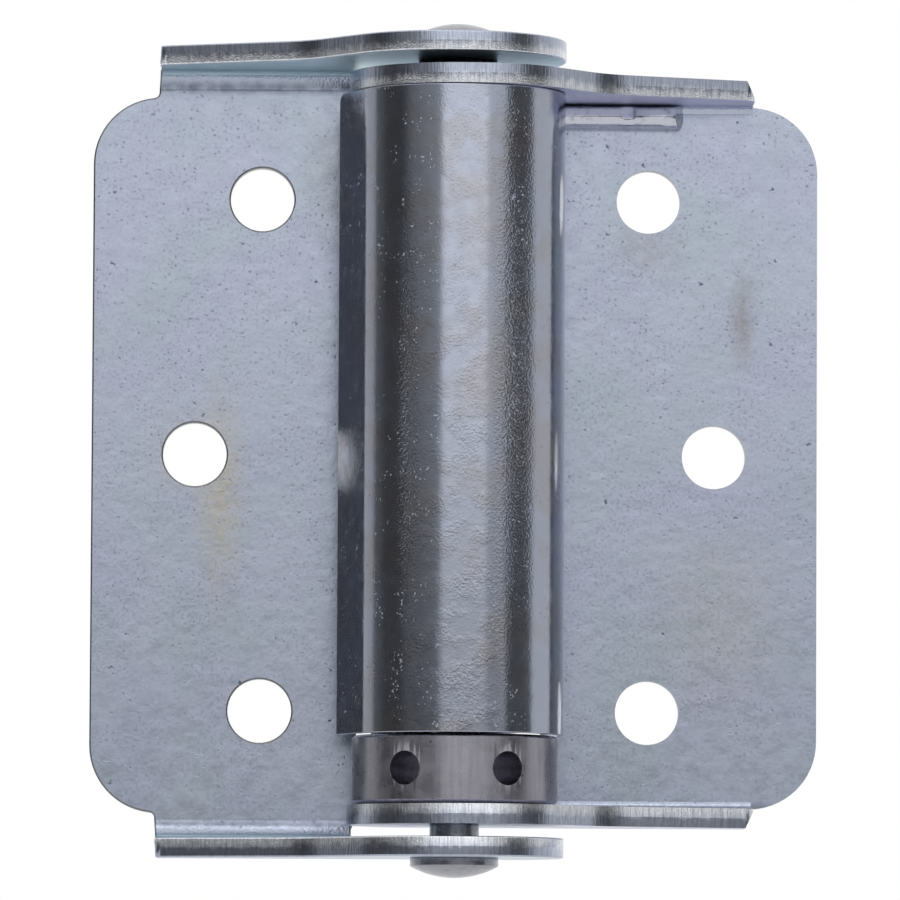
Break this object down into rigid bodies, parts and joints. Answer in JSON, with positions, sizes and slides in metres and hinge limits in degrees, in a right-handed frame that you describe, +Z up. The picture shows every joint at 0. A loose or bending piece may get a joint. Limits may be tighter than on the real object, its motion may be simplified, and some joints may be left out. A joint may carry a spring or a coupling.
{
  "type": "spring loaded door hinge",
  "caption": "Self-closing door hinge: bent sheet leaves on a riveted pin, a covered torsion spring and a collar that sets its tension.",
  "frame": {"origin": "centre of the frame leaf's column of two screw holes, on that leaf's back face", "axes": "+Z up the pin, +Y out of the leaves' backs into the wall, +X from the frame leaf to the door leaf"},
  "size_m": [0.0888, 0.0278, 0.1036],
  "materials": {
    "zinc_plated_sheet": "dull bluish zinc plate on rolled sheet",
    "zinc_plated_pin": "bright zinc plate",
    "dark_washer": "dark oxide",
    "plain_steel_collar": "turned, dull and dark",
    "spring_wire": "zinc plated hard drawn wire",
    "zinc_plated_cover": "zinc plated rolled sheet, glossier than the leaves"
  },
  "bodies": {
    "frame_leaf": {"outer_leaf": "zinc_plated_sheet", "hinge_pin": "zinc_plated_pin", "ear_washer": "dark_washer"},
    "door_leaf": {"inner_leaf": "zinc_plated_sheet", "spring_cover": "zinc_plated_cover", "torsion_spring": "spring_wire"},
    "collar": {"tension_collar": "plain_steel_collar"}
  },
  "joints": [
    {"name": "leaf_swing", "type": "hinge", "parent": "frame_leaf", "child": "door_leaf", "pos_m": [0.0237, -0.0146, 0], "axis": [0, 0, 1], "range_deg": [-180, 75], "stiffness_Nm_per_rad": 0.35, "deforming": ["torsion_spring"]},
    {"name": "collar_turn", "type": "hinge", "parent": "frame_leaf", "child": "collar", "pos_m": [0.0237, -0.0146, -0.03895], "axis": [0, 0, 1], "range_deg": [0, 300], "stiffness_Nm_per_rad": 0.35}
  ]
}
